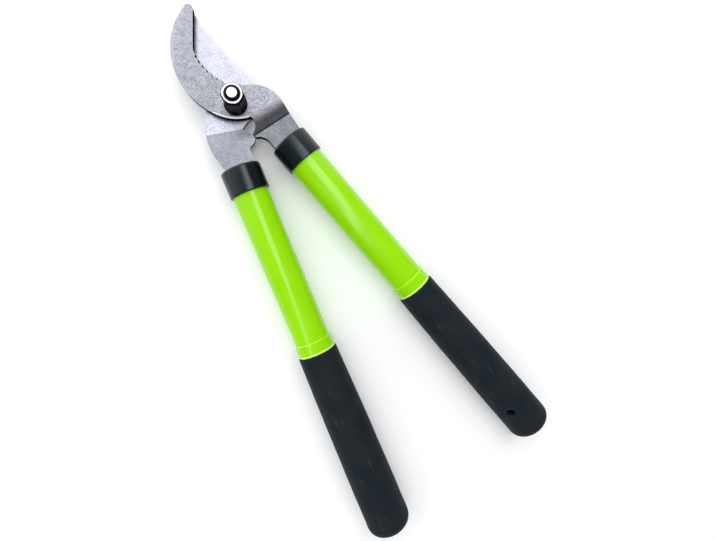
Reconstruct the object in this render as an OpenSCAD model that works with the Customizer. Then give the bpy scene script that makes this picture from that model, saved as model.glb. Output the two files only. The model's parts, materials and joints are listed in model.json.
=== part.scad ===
// Bypass loppers with a hooked counter blade, closed. Millimetres.
// +Y runs along the tool towards the blades, +X to the right, +Z up out of the flat-lying tool.
// The origin lies on the pivot axis, on the outer face of the pivot bolt's head.

/* [Handles] */
// Angle between each handle and the tool's long axis, jaws closed
handle_angle = 9.5; // [8:0.5:11]
// Distance from the pivot line to the mouth of a collar, along the handle
handle_start = 36; // [35:0.5:38]
// Outer diameter of the steel tubes
tube_d = 24.4; // [23:0.2:25]
// Wall of the steel tubes
tube_wall = 1.5; // [1:0.1:2]
// Bare length of a tube between its collar and its swaged end
tube_bare = 108; // [90:1:130]
// Length of the wider swaged band next to the grip
band_len = 8; // [6:0.5:10]
// Length of a grip
grip_len = 141.5; // [120:0.5:150]
// Diameter of a grip at its upper end
grip_top_d = 28; // [27.6:0.2:29]
// Diameter of a grip near its closed end
grip_end_d = 31.6; // [30:0.2:34]
// Length of the collars
collar_len = 18; // [16:0.5:22]
// Outer diameter of the collars
collar_d = 27.2; // [27:0.2:29]

/* [Blades] */
// Thickness of the hooked counter blade
hook_t = 5; // [4:0.5:5.5]
// Thickness of the cutting blade
blade_t = 4; // [3:0.5:4.5]
// Thickness of the bearing disc between the blades
gap = 0.5; // [0.4:0.1:0.8]
// Width of the ground bevel behind the cutting edge
grind_w = 9; // [6:0.5:10]
// Number of sap notches in the hollow of the hook
notches = 7; // [4:1:7]

/* [Pivot] */
// Diameter of the pivot bolt
bolt_d = 8; // [7:0.5:8]
// Width across the flats of the two nuts
nut_flats = 13; // [12.6:0.1:14]
// Height of the adjusting nut
nut_h = 7; // [6:0.5:8]
// Height of the self-locking nut above it
lock_h = 10.5; // [8:0.5:11]

/* [Hanging hole] */
// Radius of the hole through the right grip
hang_r = 2.5; // [2:0.1:3]
// Distance of the hole from the closed end of the grip
hang_back = 28.5; // [27:0.5:34]
// How far the hole leans towards the other handle
hang_tilt = 34; // [0:1:40]

/* [Hidden] */

$fn = 96;
eps = 0.01;
far = 200;

// Clearances: a running fit at the pivot, and a push fit for pieces that never move.
running = 0.05;
push = 0.05;
stop_gap = 0.3;

// Levels of the pivot stack, from the outer face of the bolt's head upwards.
head_h = 5.3;
washer_h = 1.6;
blade_bottom = head_h + washer_h;
blade_top = blade_bottom + blade_t;
hook_bottom = blade_top + gap;
hook_top = hook_bottom + hook_t;
nut_bottom = hook_top + washer_h;
lock_bottom = nut_bottom + nut_h;
lock_top = lock_bottom + lock_h;

// Both tangs come back to one plane, the plane of the handles.
mid = blade_top + gap / 2;
hook_step = mid + hook_t / 2 - hook_top;
blade_step = mid + blade_t / 2 - blade_top;

// Where the tangs step to the handles' plane, measured from the pivot.
hook_step_from = 11.6;
hook_step_len = 11;
hook_step_soft = 0.75;
hook_step_turn = 3;
blade_step_from = 15;
blade_step_len = 11;
blade_step_soft = 0.6;
blade_step_turn = -19;
bend_steps = 8;

// Pivot hardware.
washer_r = 8;
nut_washer_r = 7.5;
bushing_r = 5.5;
bushing_sunk = 0.1;
disc_r = 8.8;
bolt_flats = 13;
bolt_proud = 1.6;
bolt_chamfer = 0.9;
nut_turn = 24;
lock_turn = 28;
lip_h = 2.6;
lip_flats = nut_flats - 0.9;
lip_r = lip_flats / 2 + 0.55;
lip_round = 0.9;
lock_hex_h = lock_h - lip_h;
insert_r = lip_r - 1.4;
insert_sunk = 0.5;
insert_from = lock_hex_h - insert_sunk;
insert_h = lock_h - insert_sunk - insert_from;

// Where the handles' axes cross the line through the pivot, square to the tool.
right_x = 11.7;
left_x = -14;

// Tangs, and what holds them in the tubes.
hook_tang_w = 21;
blade_tang_w = 20.2;
blade_tang_shift = 1;
collar_wall = 2.4;
collar_slot_w = 22.6;
collar_rim = 1.4;
collar_mouth = 0.8;
tang_end = handle_start + collar_wall;
tongue_w = 15;
tongue_len = 46;
plug_len = 52;
rivet_r = 2.5;
rivet_at = handle_start + 10;
rivet_inset = 0.3;

// Stations along a handle, all from the line through the pivot.
tube_r = tube_d / 2;
bore_r = tube_r - tube_wall;
band_step = 0.8;
band_r = tube_r + band_step;
band_from = handle_start + collar_len + tube_bare;
grip_from = band_from + band_len;
grip_to = grip_from + grip_len;
mouth_r = 1.2;
corner_r = 8.5;
crown_h = 1.6;
crown_bulge = 0.2;
flare_bulge = 0.4;
hang_at = grip_to - hang_back;
hang_web = 14;
dish_r = 4.6;
dish_h = 1.8;
dish_deep = 0.9;
tube_to = hang_at - hang_web;
end_plug_len = 14;
flange_h = 2;

// Counter blade: corners of the outline, taken clockwise from the back of the tip.
tip_back = [5.2, 68.3];
tip_front = [9, 64.2];
throat = [-4.2, 43.4];
hollow_top = [-5.2, 40];
hollow_end = [3.6, 12.6];
neck = [10.4, 8];
shoulder = [27.4, -13.8];
hook_crotch = [6.6, -33.2];
nub_under = [2.4, -24.6];
nub_x = -0.35;
nub_low = [nub_x, -22.6];
nub_high = [nub_x, -20.7];
heel_end = [4, -11.3];
heel_start = [-16, 3];

// How far its round stretches stand out from the straight lines between those corners.
tip_bulge = 1.8;
throat_bulge = -0.25;
hollow_bulge = -2.9;
neck_bulge = 0.6;
shoulder_bulge = 4.8;
hook_crotch_bulge = -1.1;
nub_bulge = 0.6;
hook_waist_bulge = -2.3;
heel_bulge = 2.7;
back_bulge = 16.2;

// Bevels along its upper outer edge, and the sap notches in its hollow.
back_bevel = [2.4, 0.9];
heel_bevel = [1.2, 0.6];
notch_top_r = 1.1;
notch_bottom_r = 0.35;
notch_deep = 3;
notch_first = 0.08;
notch_last = 0.86;

// Cutting blade: corners of the outline, taken clockwise from the point.
point = [8.6, 64.6];
spine_end = [15.2, 18.5];
rear_heel = [16.6, 6];
rear_heel_end = [1.3, -11.7];
lug_root = [-4.7, -14];
lug_high = [nub_x - stop_gap, -20.9];
lug_low = [nub_x - stop_gap, -23.8];
lug_under = [-5.6, -27];
rear_crotch = [-7.5, -30.2];
rear_edge_end = on_handle(-1, 33.4, blade_tang_shift - blade_tang_w / 2);
rear_shoulder = [-12, 12.6];
edge_start = [-1.5, 13];

spine_bulge = -2.3;
spine_end_bulge = 0.6;
rear_heel_bulge = 4.4;
lug_bulge = 0.7;
rear_crotch_bulge = -0.8;
rear_side_bulge = 7.6;
edge_bulge = 11.4;
edge_land = 0.4;

// The widest gap allowed between a round stretch and the straight pieces it is drawn with.
flatness = 0.016;

// ---- Points and curves ----

function dir(a) = [cos(a), sin(a)];

function left_of(v) = [-v[1], v[0]] / norm(v);

// An arc from p to q whose middle stands `bulge` to the left of the straight line between them.
function arc_radius(p, q, bulge) = (norm(q - p) ^ 2 / 4 + bulge ^ 2) / (2 * bulge);

function arc_centre(p, q, bulge) = (p + q) / 2 + left_of(q - p) * (bulge - arc_radius(p, q, bulge));

function arc_start(p, q, bulge) =
    let (v = p - arc_centre(p, q, bulge))
    atan2(v[1], v[0]);

function arc_sweep(p, q, bulge) = -4 * atan(2 * bulge / norm(q - p));

function arc(p, q, bulge) =
    let (steps = ceil(sqrt(abs(bulge) / flatness)))
    [
        for (i = [0 : steps])
            arc_centre(p, q, bulge)
            + abs(arc_radius(p, q, bulge))
            * dir(arc_start(p, q, bulge) + arc_sweep(p, q, bulge) * i / steps)
    ];

// A quarter circle from p to q that turns left.
function quarter(p, q) = arc(p, q, -norm(q - p) * (sqrt(2) - 1) / 2);

function axis_x(side) = side > 0 ? right_x : left_x;

// The point `along` down the handle's axis and `across` to its right. side is 1 right, -1 left.
function on_handle(side, along, across) =
    [axis_x(side), 0]
    + along * [side * sin(handle_angle), -cos(handle_angle)]
    + across * [cos(handle_angle), side * sin(handle_angle)];

// The end of a tang, from its right edge round the narrow tongue to its left edge.
function tang(side, right, left) = [
    on_handle(side, tang_end, right),
    on_handle(side, tang_end, tongue_w / 2),
    on_handle(side, tang_end + tongue_len, tongue_w / 2),
    on_handle(side, tang_end + tongue_len, -tongue_w / 2),
    on_handle(side, tang_end, -tongue_w / 2),
    on_handle(side, tang_end, left)
];

// ---- Frames ----

// Stands children, drawn up the Z axis, along a handle. Their Y points up out of the tool.
module along_handle(side) {
    translate([axis_x(side), 0, mid])
        rotate([0, 0, side * handle_angle])
            rotate([90, 0, 0])
                children();
}

// How far a step has come, from 0 to 1, at the share t of its length: it steepens over the share
// `soft` and then runs straight.
function step_at(t, soft) = (t < soft ? t ^ 2 / (2 * soft) : t - soft / 2) / (1 - soft / 2);

// The corners of a step's profile as [share of its length, share of its height]. One that is crisp at
// its start is the same step walked backwards.
function step_profile(soft, crisp_start) =
    let (
        shares = concat([for (i = [0 : bend_steps]) soft * i / bend_steps], [1]),
        last = len(shares) - 1
    )
    [
        for (i = [0 : last])
            crisp_start
            ? [1 - shares[last - i], 1 - step_at(shares[last - i], soft)]
            : [shares[i], step_at(shares[i], soft)]
    ];

// A plate that lies at `top` beyond the pivot and steps by `step` towards the handles.
module stepped_plate(top, thickness, step, from, length, soft, crisp_start) {
    upper = concat(
        [[far, top]],
        [for (p = step_profile(soft, crisp_start)) [-from - length * p[0], top + step * p[1]]],
        [[-far, top + step]]
    );
    lower = [for (i = [len(upper) - 1 : -1 : 0]) upper[i] - [0, thickness]];
    rotate([90, 0, 90])
        linear_extrude(2 * far, center = true)
            polygon(concat(upper, lower));
}

// ---- Fasteners ----

module rivet_hole(side) {
    along_handle(side)
        translate([0, 0, rivet_at])
            rotate([90, 0, 0])
                cylinder(h = tube_d + 2, r = rivet_r + push, center = true);
}

// A hexagonal prism with both rims chamfered, standing on z = 0.
module hexagon_block(flats, height) {
    rim = flats / 2;
    corner = rim / cos(30);
    chamfer = (corner - rim) / 2;
    intersection() {
        cylinder(h = height, r = corner, $fn = 6);
        rotate_extrude()
            polygon([
                [0, 0], [rim, 0], [corner, chamfer],
                [corner, height - chamfer], [rim, height], [0, height]
            ]);
    }
}

module ring(outer, inner, height) {
    difference() {
        cylinder(h = height, r = outer);
        translate([0, 0, -1])
            cylinder(h = height + 2, r = inner);
    }
}

// ---- Blades ----

hook_outline = concat(
    arc(tip_back, tip_front, tip_bulge),
    arc(throat, hollow_top, throat_bulge),
    arc(hollow_top, hollow_end, hollow_bulge),
    arc(hollow_end, neck, neck_bulge),
    arc(neck, shoulder, shoulder_bulge),
    tang(1, hook_tang_w / 2, -hook_tang_w / 2),
    arc(hook_crotch, nub_under, hook_crotch_bulge),
    arc(nub_under, nub_low, nub_bulge),
    arc(nub_high, heel_end, hook_waist_bulge),
    arc(heel_end, heel_start, heel_bulge),
    arc(heel_start, tip_back, back_bulge)
);

blade_outline = concat(
    arc(point, spine_end, spine_bulge),
    arc(spine_end, rear_heel, spine_end_bulge),
    arc(rear_heel, rear_heel_end, rear_heel_bulge),
    [lug_root, lug_high],
    arc(lug_low, lug_under, lug_bulge),
    arc(lug_under, rear_crotch, rear_crotch_bulge),
    tang(-1, blade_tang_shift + blade_tang_w / 2, blade_tang_shift - blade_tang_w / 2),
    arc(rear_edge_end, rear_shoulder, rear_side_bulge),
    arc(edge_start, point, edge_bulge)
);

// A ring sector that follows the arc from p to q and runs a little past both ends. `section` holds
// [outwards, up] points counted from the arc's own line.
module along_arc(p, q, bulge, section) {
    past = 0.7;
    centre = arc_centre(p, q, bulge);
    radius = arc_radius(p, q, bulge);
    sweep = arc_sweep(p, q, bulge);
    translate([centre[0], centre[1], 0])
        rotate([0, 0, arc_start(p, q, bulge) + sweep - past])
            rotate_extrude(angle = 2 * past - sweep, $fn = 180)
                polygon([for (s = section) [radius + s[0], s[1]]]);
}

// The sap notches are tapered cuts into the hollow of the hook, at an even pitch.
module notch_cuts() {
    centre = arc_centre(hollow_top, hollow_end, hollow_bulge);
    start = arc_start(hollow_top, hollow_end, hollow_bulge);
    sweep = arc_sweep(hollow_top, hollow_end, hollow_bulge);
    radius = abs(arc_radius(hollow_top, hollow_end, hollow_bulge));
    over = 0.2;
    top_r = notch_top_r + over * (notch_top_r - notch_bottom_r) / notch_deep;
    for (i = [0 : notches - 1]) {
        share = notch_first + (notch_last - notch_first) * i / (notches - 1);
        at = centre + radius * dir(start + sweep * share);
        translate([at[0], at[1], hook_top - notch_deep])
            cylinder(h = notch_deep + over, r1 = notch_bottom_r, r2 = top_r, $fn = 24);
    }
}

// The upper outer edge of the hook is broken by a bevel; size is [width, depth].
module edge_bevel(p, q, bulge, size) {
    over = 1;
    along_arc(p, q, bulge, [
        [-size[0], hook_top + eps],
        [over, hook_top + eps],
        [over, hook_top - size[1] * (1 + over / size[0])]
    ]);
}

module counter_blade() {
    color([0.72, 0.73, 0.77])
        difference() {
            intersection() {
                linear_extrude(hook_top + 1)
                    polygon(hook_outline);
                rotate([0, 0, hook_step_turn])
                    stepped_plate(
                        hook_top, hook_t, hook_step,
                        hook_step_from, hook_step_len, hook_step_soft, false
                    );
            }
            translate([0, 0, hook_bottom - 1])
                cylinder(h = hook_t + 2, r = bolt_d / 2 + running);
            notch_cuts();
            edge_bevel(heel_start, tip_back, back_bulge, back_bevel);
            edge_bevel(heel_end, heel_start, heel_bulge, heel_bevel);
            rivet_hole(1);
        }
}

module cutting_blade() {
    over = 1;
    slope = (blade_t - edge_land) / grind_w;
    bevel = [
        [-grind_w, blade_bottom],
        [-grind_w - over, blade_bottom - over],
        [over, blade_bottom - over],
        [over, blade_top - edge_land + over * slope]
    ];
    color([0.84, 0.88, 0.95])
        difference() {
            intersection() {
                linear_extrude(hook_top)
                    polygon(blade_outline);
                rotate([0, 0, blade_step_turn])
                    stepped_plate(
                        blade_top, blade_t, blade_step,
                        blade_step_from, blade_step_len, blade_step_soft, true
                    );
            }
            translate([0, 0, blade_bottom - 1])
                cylinder(h = blade_t + 2, r = bushing_r);
            along_arc(edge_start, point, edge_bulge, bevel);
            rivet_hole(-1);
        }
}

// ---- Pivot ----

module pivot_bolt() {
    shank_r = bolt_d / 2;
    shank_top = lock_top + bolt_proud - bolt_chamfer;
    color([0.8, 0.81, 0.83]) {
        hexagon_block(bolt_flats, head_h);
        translate([0, 0, head_h - 1])
            cylinder(h = shank_top - head_h + 1, r = shank_r);
        translate([0, 0, shank_top])
            cylinder(h = bolt_chamfer, r1 = shank_r, r2 = shank_r - bolt_chamfer);
    }
}

module head_washer() {
    color([0.75, 0.76, 0.78])
        translate([0, 0, head_h])
            ring(washer_r, bolt_d / 2 + running, washer_h);
}

// Its ends lie just below the faces of the blade, clear of the washer and the disc.
module pivot_bushing() {
    color([0.72, 0.55, 0.25])
        translate([0, 0, blade_bottom + bushing_sunk])
            ring(bushing_r, bolt_d / 2 + running, blade_t - 2 * bushing_sunk);
}

module bearing_disc() {
    color([0.3, 0.3, 0.32])
        translate([0, 0, blade_top])
            ring(disc_r, bolt_d / 2 + running, gap);
}

module nut_washer() {
    color([0.25, 0.26, 0.28])
        translate([0, 0, hook_top])
            ring(nut_washer_r, bolt_d / 2 + running, washer_h);
}

module adjusting_nut() {
    color([0.25, 0.26, 0.28])
        translate([0, 0, nut_bottom])
            difference() {
                rotate([0, 0, nut_turn])
                    hexagon_block(nut_flats, nut_h);
                translate([0, 0, -1])
                    cylinder(h = nut_h + 2, r = bolt_d / 2 + push);
            }
}

// The upper nut ends in a lip, its corners cut round, that holds a nylon ring.
module lock_nut() {
    color([0.85, 0.86, 0.88])
        translate([0, 0, lock_bottom])
            difference() {
                union() {
                    rotate([0, 0, lock_turn])
                        hexagon_block(nut_flats, lock_hex_h);
                    intersection() {
                        rotate([0, 0, lock_turn])
                            cylinder(h = lock_h, r = lip_flats / 2 / cos(30), $fn = 6);
                        rotate_extrude()
                            polygon(concat(
                                [[0, 0], [lip_r, 0]],
                                quarter([lip_r, lock_h - lip_round], [lip_r - lip_round, lock_h]),
                                [[0, lock_h]]
                            ));
                    }
                }
                translate([0, 0, -1])
                    cylinder(h = lock_h + 2, r = bolt_d / 2 + push);
                translate([0, 0, insert_from])
                    cylinder(h = lock_h, r = insert_r);
            }
}

module nut_insert() {
    color([0.1, 0.12, 0.16])
        translate([0, 0, lock_bottom + insert_from])
            ring(insert_r, bolt_d / 2 + push, insert_h);
}

// ---- Handles ----

// A soft cap over the mouth of the tube, slotted for the tang.
module collar(side, tang_t) {
    outer = collar_d / 2;
    mouth_from = collar_len - collar_mouth;
    slot_w = collar_slot_w;
    slot_h = tang_t + 0.4;
    color([0.1, 0.1, 0.12])
        difference() {
            along_handle(side)
                translate([0, 0, handle_start])
                    difference() {
                        rotate_extrude()
                            polygon(concat(
                                [[0, 0]],
                                quarter([outer - collar_rim, 0], [outer, collar_rim]),
                                quarter([outer, mouth_from], [outer - collar_mouth, collar_len]),
                                [[0, collar_len]]
                            ));
                        translate([0, 0, collar_wall])
                            cylinder(h = collar_len, r = tube_r + push);
                    }
            along_handle(side)
                translate([-slot_w / 2, -slot_h / 2, handle_start - 1])
                    cube([slot_w, slot_h, collar_wall + 2]);
        }
}

// The painted tube, swaged wider just above the grip and running on inside it.
module tube(side) {
    color([0.5, 0.85, 0.05])
        difference() {
            along_handle(side)
                rotate_extrude()
                    polygon([
                        [bore_r, tang_end],
                        [tube_r, tang_end],
                        [tube_r, band_from - band_step],
                        [band_r, band_from],
                        [band_r, grip_from],
                        [tube_r, grip_from],
                        [tube_r, tube_to],
                        [bore_r, tube_to]
                    ]);
            rivet_hole(side);
        }
}

// A plastic plug that centres the tongue in the tube.
module tang_plug(side, tang_t) {
    slot_w = tongue_w + 0.2;
    slot_h = tang_t + 0.2;
    color([0.2, 0.2, 0.22])
        difference() {
            along_handle(side)
                translate([0, 0, tang_end])
                    difference() {
                        cylinder(h = plug_len, r = bore_r - push);
                        translate([-slot_w / 2, -slot_h / 2, -1])
                            cube([slot_w, slot_h, tongue_len + 2]);
                    }
            rivet_hole(side);
        }
}

// A headless rivet through tube, plug and tongue, covered by the collar.
module tang_rivet(side) {
    color([0.75, 0.76, 0.78])
        along_handle(side)
            translate([0, 0, rivet_at])
                rotate([90, 0, 0])
                    cylinder(h = tube_d - 2 * rivet_inset, r = rivet_r, center = true);
}

module end_plug(side) {
    color([0.2, 0.2, 0.22])
        along_handle(side)
            translate([0, 0, tube_to - end_plug_len]) {
                cylinder(h = end_plug_len + flange_h, r = bore_r - push);
                translate([0, 0, end_plug_len])
                    cylinder(h = flange_h, r = tube_r - 0.2);
            }
}

// A moulded sleeve with a rounded mouth, a slight flare and a solid domed end.
module grip_sleeve() {
    top_r = grip_top_d / 2;
    end_r = grip_end_d / 2;
    corner_from = grip_to - crown_h - corner_r;
    crown_from = [end_r - corner_r, grip_to - crown_h];
    bore_end_gap = 1.2;
    difference() {
        rotate_extrude()
            polygon(concat(
                [[0, grip_from]],
                quarter([top_r - mouth_r, grip_from], [top_r, grip_from + mouth_r]),
                arc([top_r, grip_from + mouth_r], [end_r, corner_from], -flare_bulge),
                quarter([end_r, corner_from], crown_from),
                arc(crown_from, [0, grip_to], -crown_bulge)
            ));
        translate([0, 0, grip_from - 1])
            cylinder(h = tube_to + flange_h + bore_end_gap + 1 - grip_from, r = tube_r + push);
    }
}

// The hanging hole, with a shallow dish round each mouth.
module hang_hole_cut() {
    surface_r = grip_end_d / 2 - flare_bulge;
    over = 2;
    widening = (dish_r - hang_r) / dish_h;
    translate([0, 0, hang_at])
        rotate([0, 0, hang_tilt])
            rotate([90, 0, 0]) {
                cylinder(h = 2 * grip_end_d, r = hang_r, center = true);
                for (end = [0, 180])
                    rotate([end, 0, 0])
                        translate([0, 0, surface_r - dish_deep])
                            cylinder(h = dish_h + over, r1 = hang_r, r2 = dish_r + over * widening);
            }
}

module right_grip() {
    color([0.13, 0.14, 0.15])
        along_handle(1)
            difference() {
                grip_sleeve();
                hang_hole_cut();
            }
}

module left_grip() {
    color([0.13, 0.14, 0.15])
        along_handle(-1)
            grip_sleeve();
}

counter_blade();
cutting_blade();
pivot_bolt();
head_washer();
pivot_bushing();
bearing_disc();
nut_washer();
adjusting_nut();
lock_nut();
nut_insert();
collar(1, hook_t);  // right_collar
tube(1);  // right_tube
tang_plug(1, hook_t);  // right_tang_plug
tang_rivet(1);  // right_tang_rivet
end_plug(1);  // right_end_plug
right_grip();
collar(-1, blade_t);  // left_collar
tube(-1);  // left_tube
tang_plug(-1, blade_t);  // left_tang_plug
tang_rivet(-1);  // left_tang_rivet
end_plug(-1);  // left_end_plug
left_grip();
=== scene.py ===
"""Bypass loppers on a pale floor. Metres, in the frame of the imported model."""

import json
import math

import bmesh
import bpy
from mathutils import Matrix, Vector, noise

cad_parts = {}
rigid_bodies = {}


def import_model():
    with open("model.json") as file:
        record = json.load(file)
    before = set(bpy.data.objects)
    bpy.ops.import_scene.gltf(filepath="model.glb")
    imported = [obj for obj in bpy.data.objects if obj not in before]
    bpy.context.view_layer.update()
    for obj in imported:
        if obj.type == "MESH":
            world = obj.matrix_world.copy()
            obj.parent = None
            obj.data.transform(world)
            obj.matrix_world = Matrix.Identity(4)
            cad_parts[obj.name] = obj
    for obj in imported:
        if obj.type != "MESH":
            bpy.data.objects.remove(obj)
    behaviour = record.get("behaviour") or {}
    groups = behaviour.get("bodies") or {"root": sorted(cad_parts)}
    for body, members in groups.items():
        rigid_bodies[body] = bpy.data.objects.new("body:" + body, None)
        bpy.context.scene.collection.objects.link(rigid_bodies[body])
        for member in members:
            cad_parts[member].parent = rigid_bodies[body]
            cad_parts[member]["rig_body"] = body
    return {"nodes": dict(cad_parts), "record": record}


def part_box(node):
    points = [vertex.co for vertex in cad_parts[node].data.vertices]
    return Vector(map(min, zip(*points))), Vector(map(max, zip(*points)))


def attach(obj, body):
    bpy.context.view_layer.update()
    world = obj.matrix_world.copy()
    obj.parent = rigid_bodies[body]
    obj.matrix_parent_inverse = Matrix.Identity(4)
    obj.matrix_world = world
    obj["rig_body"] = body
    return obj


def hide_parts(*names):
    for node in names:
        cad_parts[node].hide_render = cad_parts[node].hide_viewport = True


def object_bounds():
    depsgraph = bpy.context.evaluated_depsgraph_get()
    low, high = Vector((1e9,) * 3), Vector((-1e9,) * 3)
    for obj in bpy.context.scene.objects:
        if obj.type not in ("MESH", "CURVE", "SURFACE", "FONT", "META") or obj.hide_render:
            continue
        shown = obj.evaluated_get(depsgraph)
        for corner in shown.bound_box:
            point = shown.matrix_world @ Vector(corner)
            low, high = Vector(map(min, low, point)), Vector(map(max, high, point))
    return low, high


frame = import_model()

CAD_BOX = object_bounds()
NODES = frame["nodes"]
SIDES = ("left", "right")
MM = 0.001
ORIGIN = (0, 0, 0)
UP = (0, 0, 1)

# Points closer than this are one point, planes closer than this are one plane, and edges sharper
# than this are edges. The blades keep their softer bends crisp as well.
WELD = 0.002 * MM
FLAT_ANGLE = math.radians(0.2)
HARD_ANGLE = math.radians(32)
BEND_ANGLE = math.radians(10)

# How strongly a large face decides the light across the rounded edges next to it, up to 100.
FACE_WEIGHT = 90

# The hook runs back from the pivot in this direction. It turns dull over the first span, is painted
# darker down its step over the second, as painted shade, and bends into its tang at the crease.
HOOK_BEHIND = (0.0523, -0.9986, 0)
HOOK_DULL = (8 * MM, 13 * MM)
HOOK_STEP = (10.5 * MM, 18 * MM)
HOOK_CREASE = 22.6 * MM

# The hook's heel lies this way from the pivot. The painted highlight on its rounded edge fades in
# over the span, and ends where the step begins.
HOOK_HEEL = (-0.707, -0.707, 0)
HEEL_SPAN = (-6 * MM, 2 * MM)
HEEL_END = (10.5 * MM, 12 * MM)

# The cutting blade runs back from the pivot in this direction, and bends into its step at the crease.
BLADE_BEHIND = (-0.3256, -0.9455, 0)
BLADE_CREASE = 14.9 * MM

# How far down from its top the lock nut's lip and the bolt are painted bright, as a painted
# highlight, and over what height the painted highlight fades in.
LIP_HIGHLIGHT = 2.4 * MM
LIP_FADE = 0.3 * MM
BOLT_HIGHLIGHT = 0.5 * MM
BOLT_FADE = 0.1 * MM

# The rim of the dish round the hanging hole, and the height over which it fades in.
DISH_R = 4.4 * MM
DISH_LINE = 0.4 * MM
DISH_FADE = 1 * MM

# The painted highlight line on a tube, just above the grip's mouth.
RIM_ABOVE = 0.4 * MM
RIM_LINE = 0.5 * MM

# The unevenness of a grip's skin, and the size of the cells it is built from.
SWELL = 12 * MM
SWELL_DEEP = 0.3 * MM
WRINKLE_LEN = 14 * MM
WRINKLE_W = 2.5 * MM
WRINKLE_DEEP = 0.08 * MM
SKIN_CELL = 0.8 * MM

# Most of a noise texture's values lie between these two.
NOISE_LOW = 0.3
NOISE_HIGH = 0.7

# Blackened steel reflects next to nothing, or its steep walls would look grey.
BLACKENED_SPECULAR = 0.012

FLOOR_SIZE = 6.0
LIGHT_HEIGHT = 1.1

# How bright the sky is beyond the blades and at both sides, and how much it gains beyond the grips.
SKY_BLADES = 2.1
SKY_SIDES = 0.21
SKY_GRIPS = 0.9

# ---- Places read from the frame ----


def middle(node):
    low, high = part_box(node)
    return (Vector(low) + Vector(high)) / 2


def top(node):
    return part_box(node)[1].z


def handle(side):
    """Where a handle's axis passes its collar, and the direction it runs in, away from the blades."""
    start = middle(side + "_collar")
    end = middle(side + "_grip")
    return start, (end - start).normalized()


def nearest(node, start, direction):
    """How far from the start, along the direction, a node begins."""
    return min((vertex.co - start).dot(direction) for vertex in NODES[node].data.vertices)


PIVOT = Vector((0, 0, middle("bearing_disc").z))
HANDLES = {side: handle(side) for side in SIDES}

# The grip's mouth, which lies equally far along both handles.
GRIP_AT = nearest("right_grip", *HANDLES["right"])

# ---- Node graphs ----


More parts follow.
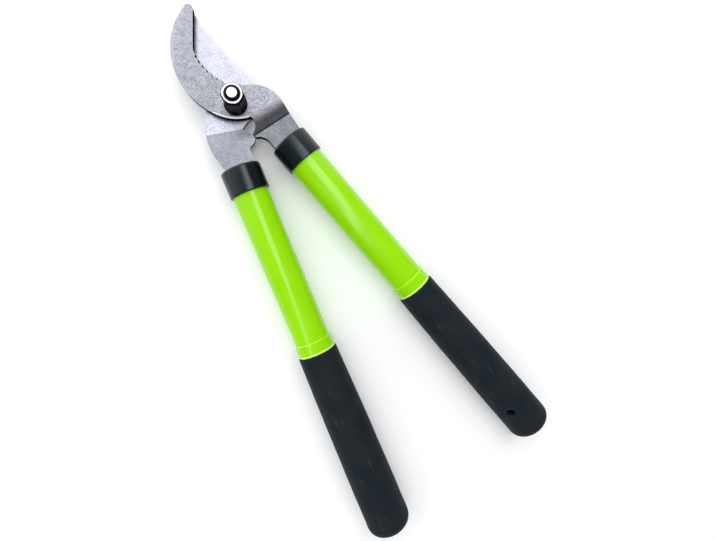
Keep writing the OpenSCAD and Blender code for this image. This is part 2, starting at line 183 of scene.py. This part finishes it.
class Graph:
    """A material's node graph, with one Principled shader at its end."""

    def __init__(self, name):
        self.material = bpy.data.materials.new(name)
        self.material.use_nodes = True
        self.tree = self.material.node_tree
        self.shader = self.tree.nodes["Principled BSDF"]
        self.coords = self.add("ShaderNodeTexCoord").outputs["Object"]

    def add(self, kind, **settings):
        node = self.tree.nodes.new(kind)
        for key, value in settings.items():
            setattr(node, key, value)
        return node

    def feed(self, socket, value):
        """Links an output to a socket, or sets a constant on the socket itself."""
        if isinstance(value, bpy.types.NodeSocket):
            self.tree.links.new(value, socket)
        else:
            socket.default_value = value

    def set(self, **values):
        for key, value in values.items():
            self.feed(self.shader.inputs[key.replace("_", " ")], value)

    def fed(self, name):
        """What feeds one of the shader's inputs so far."""
        return self.shader.inputs[name].links[0].from_socket

    def placed(self, turn=0.0, stretch=(1, 1, 1)):
        """Object coordinates turned about Z, then stretched."""
        turned = self.add("ShaderNodeMapping", vector_type="POINT")
        self.feed(turned.inputs["Vector"], self.coords)
        turned.inputs["Rotation"].default_value = (0, 0, turn)
        scaled = self.add("ShaderNodeMapping", vector_type="POINT")
        self.feed(scaled.inputs["Vector"], turned.outputs["Vector"])
        scaled.inputs["Scale"].default_value = stretch
        return scaled.outputs["Vector"]

    def noise(self, size, detail=3.0, rough=0.5, where=None):
        """Noise between 0 and 1 whose features are about `size` metres across."""
        node = self.add("ShaderNodeTexNoise")
        self.feed(node.inputs["Vector"], where or self.coords)
        node.inputs["Scale"].default_value = 1 / size
        node.inputs["Detail"].default_value = detail
        node.inputs["Roughness"].default_value = rough
        return node.outputs["Fac"]

    def ramp(self, value, low, high, start=0.0, end=1.0):
        """Goes smoothly from start to end while the value goes from low to high."""
        node = self.add("ShaderNodeMapRange", clamp=True, interpolation_type="SMOOTHSTEP")
        self.feed(node.inputs["Value"], value)
        node.inputs["From Min"].default_value = low
        node.inputs["From Max"].default_value = high
        node.inputs["To Min"].default_value = start
        node.inputs["To Max"].default_value = end
        return node.outputs["Result"]

    def vary(self, texture, start, end):
        """Goes from start to end with a noise texture."""
        return self.ramp(texture, NOISE_LOW, NOISE_HIGH, start, end)

    def math(self, operation, a, b=0.0):
        node = self.add("ShaderNodeMath", operation=operation)
        self.feed(node.inputs[0], a)
        self.feed(node.inputs[1], b)
        return node.outputs[0]

    def mix(self, amount, a, b):
        node = self.add("ShaderNodeMix", data_type="RGBA")
        self.feed(node.inputs["Factor"], amount)
        self.feed(node.inputs[6], a)
        self.feed(node.inputs[7], b)
        return node.outputs[2]

    def tinted(self, colour, tint):
        """A colour multiplied by another."""
        node = self.add("ShaderNodeMix", data_type="RGBA", blend_type="MULTIPLY")
        node.inputs["Factor"].default_value = 1.0
        self.feed(node.inputs[6], colour)
        self.feed(node.inputs[7], tint)
        return node.outputs[2]

    def shaded(self, colour, brightness):
        """A colour multiplied by a number."""
        node = self.add("ShaderNodeCombineColor")
        for channel in ("Red", "Green", "Blue"):
            self.feed(node.inputs[channel], brightness)
        return self.tinted(colour, node.outputs["Color"])

    def along(self, direction, origin):
        """Distance from a point along a direction, in metres."""
        offset = self.add("ShaderNodeVectorMath", operation="SUBTRACT")
        self.feed(offset.inputs[0], self.coords)
        offset.inputs[1].default_value = origin
        dot = self.add("ShaderNodeVectorMath", operation="DOT_PRODUCT")
        self.feed(dot.inputs[0], offset.outputs["Vector"])
        dot.inputs[1].default_value = direction
        return dot.outputs["Value"]

    def line(self, value, at, width):
        """1 within `width` of a value, and 0 beyond twice that."""
        distance = self.math("ABSOLUTE", self.math("SUBTRACT", value, at))
        return self.ramp(distance, width, 2 * width, 1.0, 0.0)

    def facing_up(self, low, high):
        """0 on walls, 1 where the surface lies flat, changing over that span of the normal's Z."""
        parts = self.add("ShaderNodeSeparateXYZ")
        self.feed(parts.inputs[0], self.add("ShaderNodeNewGeometry").outputs["Normal"])
        return self.ramp(self.math("ABSOLUTE", parts.outputs["Z"]), low, high)

    def bump(self, height, depth):
        """Bumps of `depth` metres, on top of any that are there already."""
        node = self.add("ShaderNodeBump")
        self.feed(node.inputs["Height"], height)
        node.inputs["Distance"].default_value = depth
        node.inputs["Strength"].default_value = 1.0
        normal = self.shader.inputs["Normal"]
        if normal.is_linked:
            self.feed(node.inputs["Normal"], self.fed("Normal"))
        self.feed(normal, node.outputs["Normal"])


def grey(value, cold=0.0):
    """A grey with `cold` of its red, and most of that of its green, left out."""
    return (value * (1 - cold), value * (1 - 0.8 * cold), value, 1)


# ---- Materials ----


def steel(name, light, dark, walls):
    """Forged steel: cloudy and finely grained on its flats. Where its walls turn steep it is painted
    dark and not metallic, as painted shade.
    """
    bluish = (0.94, 0.96, 1, 1)
    pinkish = (1, 0.97, 1, 1)
    g = Graph(name)
    mottle = g.noise(4 * MM, detail=4, rough=0.7)
    grain = g.noise(1.2 * MM, detail=2, rough=0.8)
    cloud = g.noise(7 * MM)
    tone = g.math("ADD", g.math("MULTIPLY", mottle, 0.4), g.math("MULTIPLY", grain, 0.6))
    face = g.mix(g.ramp(tone, 0.36, 0.64), dark, light)
    tint = g.mix(g.ramp(cloud, 0.4, 0.6), bluish, pinkish)
    # Where the walls turn steep the steel takes the wall colour and stops being metallic: painted shade.
    flat = g.facing_up(0.72, 0.9)
    g.set(
        Base_Color=g.mix(flat, walls, g.tinted(face, tint)),
        Metallic=flat,
        Roughness=g.vary(grain, 0.27, 0.36),
        Specular_IOR_Level=0.0,
    )
    g.bump(grain, 0.012 * MM)
    return g


def hook_step_painted_light(g, face, behind):
    """The colour of the hook's step, painted lighter at its top and darker on its way down to a crease,
    as painted light and shade, with a darker line painted just before the crease, and of its paler tang.
    """
    step = g.ramp(behind, *HOOK_STEP, start=1.3, end=0.27)
    tang = g.ramp(behind, HOOK_CREASE, HOOK_CREASE + 0.2 * MM, end=0.7)
    # A darker line painted just before the crease, as painted shade in the bend.
    crease = g.math("MULTIPLY", g.line(behind, HOOK_CREASE - 0.5 * MM, 0.25 * MM), 0.7)
    brightness = g.math("MULTIPLY", g.math("ADD", step, tang), g.math("SUBTRACT", 1.0, crease))
    return g.shaded(face, brightness)


def hook_heel_highlight(g, behind):
    """1 on the painted highlight along the rounded edge of the hook's heel, and 0 elsewhere."""
    near = g.ramp(g.along(HOOK_HEEL, ORIGIN), *HEEL_SPAN)
    heel = g.math("MULTIPLY", near, g.ramp(behind, *HEEL_END, start=1.0, end=0.0))
    gentle = g.math("MULTIPLY", g.facing_up(0.9, 0.925), 0.6)
    flat = g.facing_up(0.95, 0.985)
    tilted = g.math("SUBTRACT", g.facing_up(0.8, 0.86), g.math("MAXIMUM", gentle, flat))
    return g.math("MULTIPLY", heel, tilted)


def hook_steel():
    """Its step and its tang are duller than its flat, with painted light and shade down the step, and the
    rounded edge of its heel is painted bright, as a painted highlight.
    """
    g = steel("hook_steel", light=grey(0.43, 0.09), dark=grey(0.25, 0.09), walls=grey(0.004, 0.2))
    behind = g.along(HOOK_BEHIND, ORIGIN)
    dull = g.ramp(behind, *HOOK_DULL)
    heel_highlight = hook_heel_highlight(g, behind)
    face = g.fed("Base Color")
    colour = g.mix(dull, face, hook_step_painted_light(g, face, behind))
    kept = g.math("SUBTRACT", 1.0, g.math("MAXIMUM", heel_highlight, dull))
    g.set(
        # The painted highlight on the heel's rounded edge is near white.
        Base_Color=g.mix(heel_highlight, colour, grey(0.9, 0.06)),
        Metallic=g.math("MULTIPLY", g.fed("Metallic"), kept),
    )
    return g.material


def blade_steel():
    """Its step and its tang are darker and less mirror-like than its flat."""
    g = steel("blade_steel", light=grey(0.66, 0.07), dark=grey(0.49, 0.15), walls=grey(0.2, 0.2))
    behind = g.along(BLADE_BEHIND, ORIGIN)
    tang = g.ramp(behind, BLADE_CREASE - 0.3 * MM, BLADE_CREASE + 0.3 * MM)
    darker = g.ramp(tang, 0.0, 1.0, start=1.0, end=0.68)
    kept = g.ramp(tang, 0.0, 1.0, start=1.0, end=0.3)
    g.set(
        Base_Color=g.shaded(g.fed("Base Color"), darker),
        Metallic=g.math("MULTIPLY", g.fed("Metallic"), kept),
    )
    return g.material


def bright_steel():
    g = Graph("bright_steel")
    scuff = g.noise(1.2 * MM, detail=4)
    g.set(
        Base_Color=g.mix(scuff, grey(0.75), grey(0.9)),
        Metallic=1.0,
        Roughness=g.vary(scuff, 0.14, 0.26),
    )
    g.bump(scuff, 0.01 * MM)
    return g.material


def blackened(g, scuff):
    return g.mix(scuff, grey(0.004, 0.2), grey(0.01, 0.2))


def dark_steel():
    g = Graph("dark_steel")
    scuff = g.noise(3 * MM)
    g.set(
        Base_Color=blackened(g, scuff),
        Roughness=g.vary(scuff, 0.26, 0.36),
        Specular_IOR_Level=BLACKENED_SPECULAR,
    )
    g.bump(scuff, 0.01 * MM)
    return g.material


def painted_bright_top(name, above, fade, facing):
    """Blackened steel that is painted bright and metallic above a height, where it faces up, as a painted
    highlight.
    """
    g = Graph(name)
    scuff = g.noise(2 * MM, detail=4)
    high = g.ramp(g.along(UP, (0, 0, above)), 0.0, fade)
    # The up-facing top above the height is painted bright: a painted highlight.
    painted_highlight = g.math("MULTIPLY", high, g.facing_up(*facing))
    bright = g.mix(scuff, grey(0.75), grey(0.85))
    g.set(
        Base_Color=g.mix(painted_highlight, blackened(g, scuff), bright),
        Metallic=painted_highlight,
        Roughness=g.vary(scuff, 0.24, 0.34),
        Specular_IOR_Level=BLACKENED_SPECULAR,
    )
    g.bump(scuff, 0.01 * MM)
    return g.material


def lock_nut_steel():
    return painted_bright_top("lock_nut_steel", top("lock_nut") - LIP_HIGHLIGHT, LIP_FADE, facing=(0.6, 0.8))


def bolt_steel():
    return painted_bright_top("bolt_steel", top("pivot_bolt") - BOLT_HIGHLIGHT, BOLT_FADE, facing=(0.8, 0.9))


def bronze():
    g = Graph("bronze")
    scuff = g.noise(1.5 * MM, detail=4)
    g.set(
        Base_Color=g.mix(scuff, (0.45, 0.26, 0.09, 1), (0.62, 0.4, 0.17, 1)),
        Metallic=1.0,
        Roughness=g.vary(scuff, 0.25, 0.4),
    )
    return g.material


def dark_plastic():
    g = Graph("dark_plastic")
    grain = g.noise(0.6 * MM)
    g.set(
        Base_Color=g.mix(grain, grey(0.006, 0.2), grey(0.016, 0.2)),
        Roughness=g.vary(grain, 0.4, 0.55),
        Specular_IOR_Level=0.2,
    )
    g.bump(grain, 0.02 * MM)
    return g.material


def collar_plastic():
    g = Graph("collar_plastic")
    grain = g.noise(0.5 * MM)
    patch = g.noise(6 * MM)
    g.set(
        Base_Color=g.mix(patch, (0.002, 0.0035, 0.005, 1), (0.004, 0.006, 0.009, 1)),
        Roughness=g.vary(patch, 0.18, 0.24),
        Specular_IOR_Level=0.42,
        Specular_Tint=(0.8, 0.95, 1, 1),
    )
    g.bump(grain, 0.01 * MM)
    return g.material


def green_paint(side):
    """Gloss lime paint, with a paler line where the tube enters the grip, painted as a highlight."""
    lime = (0.26, 0.62, 0.0, 1)
    light_lime = (0.3, 0.71, 0.0, 1)
    highlight_green = (0.62, 0.9, 0.25, 1)
    start, direction = HANDLES[side]
    g = Graph("green_paint_" + side)
    cloud = g.noise(14 * MM)
    peel = g.noise(1.6 * MM, detail=2)
    fleck = g.noise(0.8 * MM, detail=4)
    rim = g.line(g.along(direction, start), GRIP_AT - RIM_ABOVE, RIM_LINE)
    # The painted highlight along the rim, broken up by flecks.
    painted_highlight = g.math("MULTIPLY", rim, g.ramp(fleck, 0.3, 0.5, start=0.5, end=1.0))
    g.set(
        Base_Color=g.mix(painted_highlight, g.mix(cloud, lime, light_lime), highlight_green),
        Roughness=g.vary(cloud, 0.14, 0.2),
        Specular_IOR_Level=0.36,
    )
    g.bump(peel, 0.008 * MM)
    return g.material


def hole_ring(g):
    """1 along the rim of the shallow dish round the hanging hole, and 0 elsewhere."""
    hole = next(mount for mount in frame["record"]["mounts"] if mount["name"] == "hang_hole")
    axis = Vector(hole["axis"])
    square = axis.orthogonal().normalized()
    sides = [g.along(side, hole["pos_m"]) for side in (square, axis.cross(square))]
    squares = [g.math("POWER", g.math("ABSOLUTE", side), 2.0) for side in sides]
    distance = g.math("SQRT", g.math("ADD", *squares))
    above = g.ramp(g.along(axis, hole["pos_m"]), 0.0, DISH_FADE)
    return g.math("MULTIPLY", g.line(distance, DISH_R, DISH_LINE), above)


def grip_rubber(side):
    """Matt rubber in two near blacks, with paler streaks along the handle."""
    bluish = (0.006, 0.011, 0.0155, 1)
    neutral = (0.011, 0.0135, 0.016, 1)
    streaked = (0.045, 0.055, 0.065, 1)
    ringed = (0.012, 0.016, 0.032, 1)
    direction = HANDLES[side][1]
    turn = -math.atan2(direction.x, -direction.y)
    g = Graph("grip_rubber_" + side)
    patch = g.noise(22 * MM)
    streak = g.noise(3 * MM, detail=4, where=g.placed(turn=turn, stretch=(1, 0.2, 1)))
    pore = g.noise(0.45 * MM, rough=0.7)
    colour = g.mix(g.ramp(patch, 0.38, 0.62), bluish, neutral)
    colour = g.mix(g.ramp(streak, 0.6, 0.8, end=0.6), colour, streaked)
    if side == "right":
        colour = g.mix(hole_ring(g), colour, ringed)
    g.set(
        Base_Color=colour,
        Roughness=g.vary(pore, 0.55, 0.75),
        Specular_IOR_Level=0.13,
    )
    g.bump(pore, 0.03 * MM)
    g.bump(streak, 0.08 * MM)
    return g.material


def floor_paint():
    g = Graph("floor_paint")
    cloud = g.noise(80 * MM)
    g.set(Base_Color=g.mix(cloud, grey(0.94), grey(0.96)), Roughness=0.7)
    g.bump(g.noise(1 * MM), 0.01 * MM)
    return g.material


# ---- Pieces ----


def piece_from(mesh, name, node, material):
    """An object of its own that stands for a CAD node, rides where it rides and takes its slot."""
    obj = bpy.data.objects.new(name, mesh)
    bpy.context.scene.collection.objects.link(obj)
    mesh.materials.clear()
    mesh.materials.append(material)
    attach(obj, NODES[node]["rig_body"])
    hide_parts(node)
    return obj


def bare_copy(node, crease=HARD_ANGLE):
    """A node's surface with its faces joined and the cuts across flat faces taken out. Bends sharper
    than `crease` are marked as sharp, and hard edges are left to be rounded."""
    mesh = bpy.data.meshes.new(node + "_surface")
    work = bmesh.new()
    work.from_mesh(NODES[node].data)
    bmesh.ops.remove_doubles(work, verts=work.verts, dist=WELD)
    bmesh.ops.dissolve_limit(
        work, angle_limit=FLAT_ANGLE, verts=work.verts, edges=work.edges, use_dissolve_boundaries=False
    )
    for edge in work.edges:
        edge.smooth = not crease < edge.calc_face_angle(0) < HARD_ANGLE
    for face in work.faces:
        face.smooth = True
    work.to_mesh(mesh)
    work.free()
    return mesh


def machined(node, material, rounding, crease=HARD_ANGLE):
    """The node with every hard edge broken by a small round, and even light across its faces. A bend
    sharper than `crease` stays crisp."""
    mesh = bare_copy(node, crease)
    obj = piece_from(mesh, node + "_finished", node, material)
    bevel = obj.modifiers.new("edges", "BEVEL")
    bevel.width = rounding
    bevel.segments = 2
    bevel.limit_method = "ANGLE"
    bevel.angle_limit = HARD_ANGLE
    bevel.miter_outer = "MITER_ARC"
    weighted = obj.modifiers.new("light", "WEIGHTED_NORMAL")
    weighted.keep_sharp = True
    weighted.weight = FACE_WEIGHT


def dress(node, material):
    """A node that is hidden inside the tool keeps its shape and only takes its material."""
    slots = NODES[node].data.materials
    slots.clear()
    slots.append(material)
    for polygon in NODES[node].data.polygons:
        polygon.material_index = 0


def even_skin(obj):
    """The object's surface rebuilt from small even cells."""
    remesh = obj.modifiers.new("skin", "REMESH")
    remesh.mode = "VOXEL"
    remesh.voxel_size = SKIN_CELL
    remesh.use_smooth_shade = True
    graph = bpy.context.evaluated_depsgraph_get()
    skin = bpy.data.meshes.new_from_object(obj.evaluated_get(graph))
    obj.modifiers.remove(remesh)
    return skin


def sink(along, sideways, height):
    """How far a grip's skin lies below its full size: slow swells and fine lengthwise wrinkles."""
    swell = noise.noise(Vector((along, sideways, height)) / SWELL)
    wrinkle = noise.noise(Vector((along / WRINKLE_LEN, sideways / WRINKLE_W, height / WRINKLE_W)))
    return SWELL_DEEP * (1 + swell) / 2 + WRINKLE_DEEP * (1 + wrinkle) / 2


def grip(side, material):
    """Soft rubber drawn over the tube."""
    node = side + "_grip"
    start, direction = HANDLES[side]
    across = direction.cross(Vector(UP))
    obj = piece_from(bare_copy(node), node + "_skin", node, material)
    skin = even_skin(obj)
    obj.data = skin
    places = [vertex.co.copy() for vertex in skin.vertices]
    outward = [vertex.normal.copy() for vertex in skin.vertices]
    for vertex, place, normal in zip(skin.vertices, places, outward):
        offset = place - start
        vertex.co = place - normal * sink(offset.dot(direction), offset.dot(across), place.z)
    for polygon in skin.polygons:
        polygon.use_smooth = True


def build():
    bright = bright_steel()
    dark = dark_steel()
    plastic = dark_plastic()
    collar = collar_plastic()
    machined("counter_blade", hook_steel(), rounding=0.5 * MM, crease=BEND_ANGLE)
    machined("cutting_blade", blade_steel(), rounding=0.15 * MM, crease=BEND_ANGLE)
    machined("pivot_bolt", bolt_steel(), rounding=0.1 * MM)
    machined("head_washer", bright, rounding=0.15 * MM)
    machined("nut_washer", dark, rounding=0.15 * MM)
    machined("adjusting_nut", dark, rounding=0.15 * MM)
    machined("lock_nut", lock_nut_steel(), rounding=0.12 * MM)
    machined("nut_insert", plastic, rounding=0.1 * MM)
    dress("bearing_disc", plastic)
    dress("pivot_bushing", bronze())
    for side in SIDES:
        machined(side + "_collar", collar, rounding=0.15 * MM)
        machined(side + "_tube", green_paint(side), rounding=0.1 * MM)
        grip(side, grip_rubber(side))
        dress(side + "_tang_plug", plastic)
        dress(side + "_end_plug", plastic)
        dress(side + "_tang_rivet", bright)


# ---- Stage ----


def floor():
    half = FLOOR_SIZE / 2
    z = CAD_BOX[0].z
    corners = [(-half, -half, z), (half, -half, z), (half, half, z), (-half, half, z)]
    mesh = bpy.data.meshes.new("floor")
    mesh.from_pydata(corners, [], [range(len(corners))])
    mesh.materials.append(floor_paint())
    obj = bpy.data.objects.new("floor", mesh)
    bpy.context.scene.collection.objects.link(obj)


def strip_light(name, start, end, width, radiance):
    """A long softbox, face down overhead, whose centre line runs from start to end."""
    line = Vector(end) - Vector(start)
    light = bpy.data.lights.new(name, "AREA")
    light.shape = "RECTANGLE"
    light.size = line.length
    light.size_y = width
    light.energy = radiance * math.pi * light.size * light.size_y
    obj = bpy.data.objects.new(name, light)
    bpy.context.scene.collection.objects.link(obj)
    obj.location = ((Vector(start) + Vector(end)) / 2).to_3d() + Vector((0, 0, LIGHT_HEIGHT))
    obj.rotation_euler = (0, 0, math.atan2(line.y, line.x))


def lights():
    """Two softboxes almost in line: a wide one over the tool and its right, and a narrow one off to its
    left."""
    strip_light("key", start=(-0.28, -0.112), end=(0.7, 0.221), width=0.24, radiance=5.4)
    strip_light("streak", start=(-1.5, -0.45), end=(-0.28, -0.16), width=0.07, radiance=8.0)


def sky_band(tree, y, low, high, start, end):
    """A soft change of the sky's strength with how far the view points along Y."""
    node = tree.nodes.new("ShaderNodeMapRange")
    node.interpolation_type = "SMOOTHSTEP"
    node.inputs["From Min"].default_value = low
    node.inputs["From Max"].default_value = high
    node.inputs["To Min"].default_value = start
    node.inputs["To Max"].default_value = end
    tree.links.new(y, node.inputs["Value"])
    return node.outputs["Result"]


def world():
    """A soft sky, bright beyond the blades and beyond the grips, and dim at both sides."""
    sky = bpy.data.worlds.new("sky")
    bpy.context.scene.world = sky
    sky.use_nodes = True
    tree = sky.node_tree
    coords = tree.nodes.new("ShaderNodeTexCoord")
    parts = tree.nodes.new("ShaderNodeSeparateXYZ")
    tree.links.new(coords.outputs["Generated"], parts.inputs[0])
    y = parts.outputs["Y"]
    both = tree.nodes.new("ShaderNodeMath")
    both.operation = "ADD"
    tree.links.new(sky_band(tree, y, 0.14, 0.5, SKY_SIDES, SKY_BLADES), both.inputs[0])
    tree.links.new(sky_band(tree, y, -0.8, -0.5, SKY_GRIPS, 0.0), both.inputs[1])
    background = tree.nodes["Background"]
    tree.links.new(both.outputs[0], background.inputs["Strength"])
    background.inputs["Color"].default_value = (0.97, 0.98, 1, 1)


def camera():
    """Looks down on the tool from over its left handle. The tool lies turned in the picture."""
    height = 0.3007
    at = Vector((-0.024, -0.1037, PIVOT.z + height))
    aim = Vector((0.0113, -0.1355, PIVOT.z))
    turn = math.radians(31.9)
    data = bpy.data.cameras.new("camera")
    data.lens = 21.9
    data.sensor_width = 36
    data.clip_start = 0.01
    data.clip_end = 20
    obj = bpy.data.objects.new("camera", data)
    bpy.context.scene.collection.objects.link(obj)
    back = (at - aim).normalized()
    right = Vector((math.sin(turn), math.cos(turn), 0)).cross(back).normalized()
    up = back.cross(right)
    turned = Matrix((right, up, back)).transposed()
    obj.matrix_world = Matrix.Translation(at) @ turned.to_4x4()
    bpy.context.scene.camera = obj


build()
floor()
world()
lights()
camera()
bpy.context.scene.view_settings.view_transform = "Standard"
